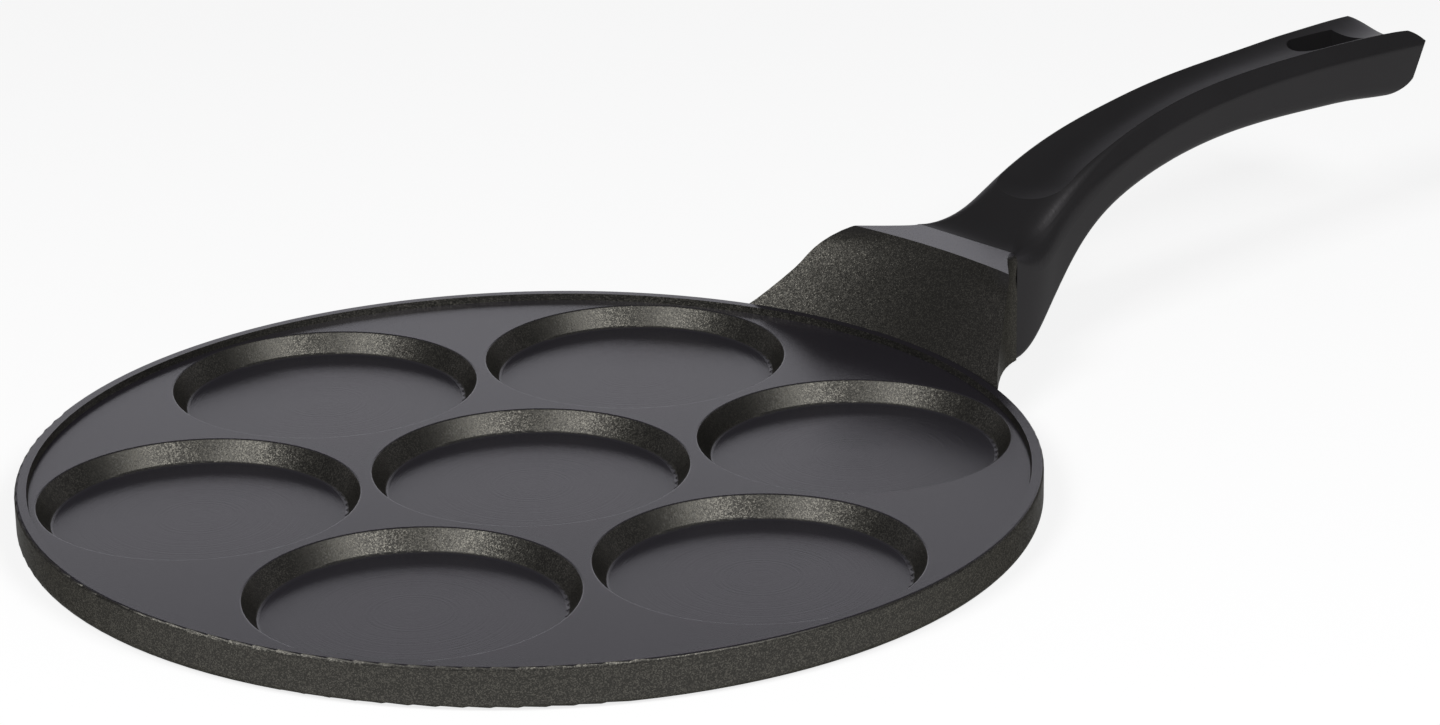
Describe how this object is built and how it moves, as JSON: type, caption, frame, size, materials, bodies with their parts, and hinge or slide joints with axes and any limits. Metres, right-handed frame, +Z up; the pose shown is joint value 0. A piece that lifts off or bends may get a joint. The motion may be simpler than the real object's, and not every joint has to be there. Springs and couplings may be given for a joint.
{
  "type": "mini pancake pan",
  "caption": "Flat round cast pan with shallow round wells in a ring and one in the middle, a low rim, and a raised heat-proof handle with a hanging slot.",
  "frame": {"origin": "centre of the flat base of the disc, on the surface that it stands on", "axes": "+Z up out of the wells, +X from the disc's centre along the handle"},
  "size_m": [0.4717, 0.26, 0.0592],
  "materials": {
    "pan_coating": "satin dark non-stick coating on cast aluminium",
    "handle_phenolic": "satin black phenolic",
    "screw_steel": "zinc-plated steel",
    "washer_steel": "zinc-plated steel"
  },
  "bodies": {
    "root": {"pan_body": "pan_coating", "handle": "handle_phenolic", "handle_screw": "screw_steel", "screw_washer": "washer_steel"}
  },
  "joints": []
}
